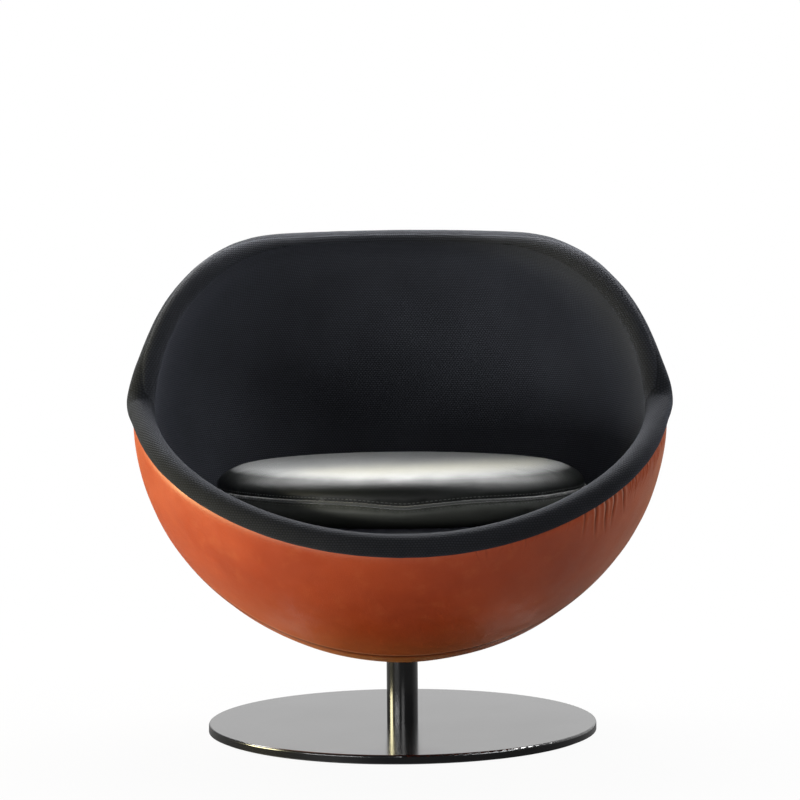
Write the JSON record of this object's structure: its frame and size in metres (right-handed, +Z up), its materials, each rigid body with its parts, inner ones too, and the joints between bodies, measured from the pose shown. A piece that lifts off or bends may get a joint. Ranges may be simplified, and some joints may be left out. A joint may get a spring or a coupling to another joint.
{
  "type": "ball chair",
  "caption": "Ball-shaped leather lounge chair with a padded rim and a loose round seat cushion, turning on a post and round steel base.",
  "frame": {"origin": "on the floor, on the vertical axis that the bowl turns about", "axes": "+Z up, -Y towards the front of the bowl at rest, +X to the right seen from the front"},
  "size_m": [0.8384, 0.7815, 0.757],
  "materials": {
    "felt": "matte",
    "black_steel": "satin",
    "steel": "satin",
    "bush_plastic": "satin",
    "bronze": "satin",
    "bowl_plastic": "matte",
    "plywood": "matte",
    "foam": "matte",
    "outer_leather": "satin",
    "lining_fabric": "matte",
    "rim_fabric": "matte",
    "cushion_leather": "satin",
    "zip_fabric": "matte",
    "zip_metal": "satin"
  },
  "bodies": {
    "base": {"floor_pad": "felt", "base_plate": "black_steel", "base_washer": "steel", "base_bolt": "steel", "column_foot": "steel", "column_tube": "black_steel", "lower_bush": "bush_plastic", "upper_bush": "bush_plastic"},
    "seat": {"thrust_washer": "bronze", "spindle": "steel", "spindle_washer": "steel", "spindle_clip": "steel", "seat_flange": "steel", "shell": "bowl_plastic", "floor_board": "plywood", "flange_washers": "steel", "flange_bolts": "steel", "outer_padding": "foam", "leather_front": "outer_leather", "leather_rear": "outer_leather", "inner_padding": "foam", "lining": "lining_fabric", "rim_core": "foam", "rim_cover": "rim_fabric", "seat_block": "foam", "deck_cover": "lining_fabric"},
    "cushion": {"cushion_core": "foam", "cushion_top": "cushion_leather", "cushion_underside": "cushion_leather", "cushion_welt": "cushion_leather", "zip_tape": "zip_fabric"},
    "slider": {"zip_slider": "zip_metal"}
  },
  "joints": [
    {"name": "swivel", "type": "hinge", "parent": "base", "child": "seat", "pos_m": [0, 0, 0.118], "axis": [0, 0, 1], "continuous": true},
    {"name": "cushion_lift", "type": "slide", "parent": "seat", "child": "cushion", "axis": [0, -0.5, 0.866], "range_m": [0, 0.55]},
    {"name": "zip_run", "type": "hinge", "parent": "cushion", "child": "slider", "pos_m": [0, -0.008, 0.335], "axis": [0, 0.0436, 0.999], "range_deg": [-41, 41]}
  ]
}
